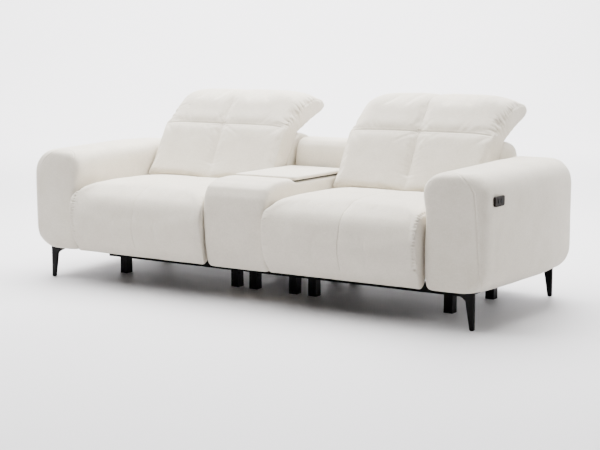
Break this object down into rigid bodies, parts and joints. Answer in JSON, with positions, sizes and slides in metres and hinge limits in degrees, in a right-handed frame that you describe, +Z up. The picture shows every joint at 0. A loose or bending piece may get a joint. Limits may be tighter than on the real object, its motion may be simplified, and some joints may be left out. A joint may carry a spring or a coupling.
{
  "type": "sofa",
  "caption": "Reclining sofa with tilting headrests, fold-out footrests, a lidded storage console between the seats, and padded arms on blade legs.",
  "frame": {"origin": "middle of the bounding box's footprint, on the floor", "axes": "+X along the sofa's width, -Y out of its front, +Z up"},
  "size_m": [2.426, 1.0591, 0.8675],
  "materials": {
    "cover_fabric": "off-white textured weave, matt",
    "front_fabric": "off-white textured weave, matt",
    "black_steel": "satin black powder coat",
    "zinc_steel": "bright zinc plate",
    "plywood": "bare plywood",
    "black_plastic": "matt black",
    "bronze_plastic": "dark bronze, satin"
  },
  "bodies": {
    "base": {"front_base_rail": "black_steel", "rear_base_rail": "black_steel", "console_cover": "cover_fabric", "center_back_board": "plywood", "console_bin": "black_plastic", "console_base_board": "plywood", "center_back_cover": "cover_fabric", "console_lid_hinge": "zinc_steel", "left_arm_cover": "cover_fabric", "left_arm_frame": "plywood", "left_control_plate": "bronze_plastic", "left_front_leg": "black_steel", "left_rear_leg": "black_steel", "left_outer_slide_rail": "black_steel", "left_inner_slide_rail": "black_steel", "left_rear_panel": "cover_fabric", "left_actuator": "black_plastic", "right_arm_cover": "cover_fabric", "right_arm_frame": "plywood", "right_control_plate": "bronze_plastic", "right_front_leg": "black_steel", "right_rear_leg": "black_steel", "right_outer_slide_rail": "black_steel", "right_inner_slide_rail": "black_steel", "right_rear_panel": "cover_fabric", "right_actuator": "black_plastic"},
    "console_lid": {"console_lid_board": "plywood", "console_lid_pad": "cover_fabric"},
    "left_seat": {"left_seat_carriage": "black_steel", "left_seat_deck": "plywood", "left_seat_cushion": "cover_fabric", "left_actuator_rod": "zinc_steel"},
    "left_footrest": {"left_footrest_board": "plywood", "left_footrest_pad": "front_fabric"},
    "left_footrest_link": {"left_footrest_link_frame": "zinc_steel"},
    "left_footrest_couplers": {"left_footrest_outer_coupler": "zinc_steel", "left_footrest_inner_coupler": "zinc_steel"},
    "left_backrest": {"left_back_frame": "plywood", "left_back_shell": "cover_fabric", "left_back_cushion": "cover_fabric"},
    "left_headrest": {"left_headrest_board": "plywood", "left_headrest_cushion": "cover_fabric"},
    "left_open_button": {"left_open_button": "black_plastic"},
    "left_close_button": {"left_close_button": "black_plastic"},
    "right_seat": {"right_seat_carriage": "black_steel", "right_seat_deck": "plywood", "right_seat_cushion": "cover_fabric", "right_actuator_rod": "zinc_steel"},
    "right_footrest": {"right_footrest_board": "plywood", "right_footrest_pad": "front_fabric"},
    "right_footrest_link": {"right_footrest_link_frame": "zinc_steel"},
    "right_footrest_couplers": {"right_footrest_outer_coupler": "zinc_steel", "right_footrest_inner_coupler": "zinc_steel"},
    "right_backrest": {"right_back_frame": "plywood", "right_back_shell": "cover_fabric", "right_back_cushion": "cover_fabric"},
    "right_headrest": {"right_headrest_board": "plywood", "right_headrest_cushion": "cover_fabric"},
    "right_open_button": {"right_open_button": "black_plastic"},
    "right_close_button": {"right_close_button": "black_plastic"}
  },
  "joints": [
    {"name": "console_lid_hinge_turn", "type": "hinge", "parent": "base", "child": "console_lid", "pos_m": [0, 0.20237, 0.5132], "axis": [-1, 0, 0], "range_deg": [0, 85]},
    {"name": "left_open_button_press", "type": "slide", "parent": "base", "child": "left_open_button", "axis": [1, 0, 0], "range_m": [0, 0.0015], "stiffness_N_per_m": 800, "springref_m": -0.001},
    {"name": "left_close_button_press", "type": "slide", "parent": "base", "child": "left_close_button", "axis": [1, 0, 0], "range_m": [0, 0.0015], "stiffness_N_per_m": 800, "springref_m": -0.001},
    {"name": "left_seat_slide", "type": "slide", "parent": "base", "child": "left_seat", "axis": [0, -1, 0], "range_m": [0, 0.12]},
    {"name": "left_footrest_turn", "type": "hinge", "parent": "left_seat", "child": "left_footrest", "pos_m": [-0.535, -0.50743, 0.412], "axis": [-1, 0, 0], "range_deg": [0, 85]},
    {"name": "left_footrest_link_turn", "type": "hinge", "parent": "left_seat", "child": "left_footrest_link", "pos_m": [-0.535, -0.34743, 0.2996], "axis": [-1, 0, 0], "range_deg": [0, 85]},
    {"name": "left_footrest_coupler_turn", "type": "hinge", "parent": "left_footrest_link", "child": "left_footrest_couplers", "pos_m": [-0.535, -0.22963, 0.1872], "axis": [1, 0, 0], "range_deg": [0, 85]},
    {"name": "left_back_recline", "type": "hinge", "parent": "left_seat", "child": "left_backrest", "pos_m": [-0.535, 0.17037, 0.395], "axis": [-1, 0, 0], "range_deg": [0, 30]},
    {"name": "left_headrest_tilt", "type": "hinge", "parent": "left_backrest", "child": "left_headrest", "pos_m": [-0.535, 0.21963, 0.71157], "axis": [1, 0, 0], "range_deg": [0, 50]},
    {"name": "right_open_button_press", "type": "slide", "parent": "base", "child": "right_open_button", "axis": [-1, 0, 0], "range_m": [0, 0.0015], "stiffness_N_per_m": 800, "springref_m": -0.001},
    {"name": "right_close_button_press", "type": "slide", "parent": "base", "child": "right_close_button", "axis": [-1, 0, 0], "range_m": [0, 0.0015], "stiffness_N_per_m": 800, "springref_m": -0.001},
    {"name": "right_seat_slide", "type": "slide", "parent": "base", "child": "right_seat", "axis": [0, -1, 0], "range_m": [0, 0.12]},
    {"name": "right_footrest_turn", "type": "hinge", "parent": "right_seat", "child": "right_footrest", "pos_m": [0.535, -0.50743, 0.412], "axis": [-1, 0, 0], "range_deg": [0, 85]},
    {"name": "right_footrest_link_turn", "type": "hinge", "parent": "right_seat", "child": "right_footrest_link", "pos_m": [0.535, -0.34743, 0.2996], "axis": [-1, 0, 0], "range_deg": [0, 85]},
    {"name": "right_footrest_coupler_turn", "type": "hinge", "parent": "right_footrest_link", "child": "right_footrest_couplers", "pos_m": [0.535, -0.22963, 0.1872], "axis": [1, 0, 0], "range_deg": [0, 85]},
    {"name": "right_back_recline", "type": "hinge", "parent": "right_seat", "child": "right_backrest", "pos_m": [0.535, 0.17037, 0.395], "axis": [-1, 0, 0], "range_deg": [0, 30]},
    {"name": "right_headrest_tilt", "type": "hinge", "parent": "right_backrest", "child": "right_headrest", "pos_m": [0.535, 0.21963, 0.71157], "axis": [1, 0, 0], "range_deg": [0, 50]}
  ],
  "couplings": [
    {"joint": "left_footrest_turn", "follows": "left_seat_slide", "rad_per_m": 12.363},
    {"joint": "left_footrest_link_turn", "follows": "left_seat_slide", "rad_per_m": 12.363},
    {"joint": "left_footrest_coupler_turn", "follows": "left_seat_slide", "rad_per_m": 12.363},
    {"joint": "left_back_recline", "follows": "left_seat_slide", "rad_per_m": 4.3633},
    {"joint": "right_footrest_turn", "follows": "right_seat_slide", "rad_per_m": 12.363},
    {"joint": "right_footrest_link_turn", "follows": "right_seat_slide", "rad_per_m": 12.363},
    {"joint": "right_footrest_coupler_turn", "follows": "right_seat_slide", "rad_per_m": 12.363},
    {"joint": "right_back_recline", "follows": "right_seat_slide", "rad_per_m": 4.3633}
  ]
}
